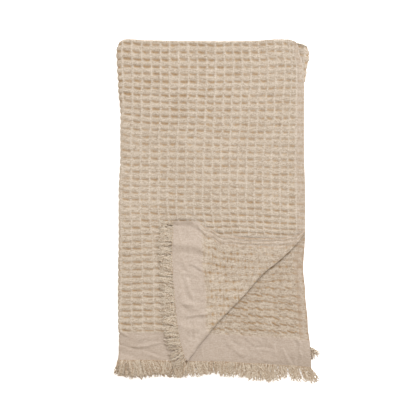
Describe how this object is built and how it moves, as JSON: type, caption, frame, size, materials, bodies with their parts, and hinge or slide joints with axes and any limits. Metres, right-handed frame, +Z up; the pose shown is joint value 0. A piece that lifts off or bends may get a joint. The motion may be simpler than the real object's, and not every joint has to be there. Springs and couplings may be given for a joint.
{
  "type": "folded waffle weave cotton blanket",
  "caption": "Fringed cotton blanket in a deep waffle weave, folded to a long rectangle, with one corner turned back.",
  "frame": {"origin": "centre of the bottom of the folded blanket's outline, fringe included", "axes": "+X to the right across the folded width, +Y along the folded length towards the top fold, +Z up"},
  "size_m": [0.4756, 0.8125, 0.0371],
  "materials": {
    "cotton": "undyed cotton in a waffle weave, matt and soft",
    "fringe": "loose undyed cotton yarn, matt"
  },
  "bodies": {
    "root": {"blanket_cloth": "cotton", "fringe_front": "fringe", "fringe_corner": "fringe", "fringe_back": "fringe"}
  },
  "joints": []
}
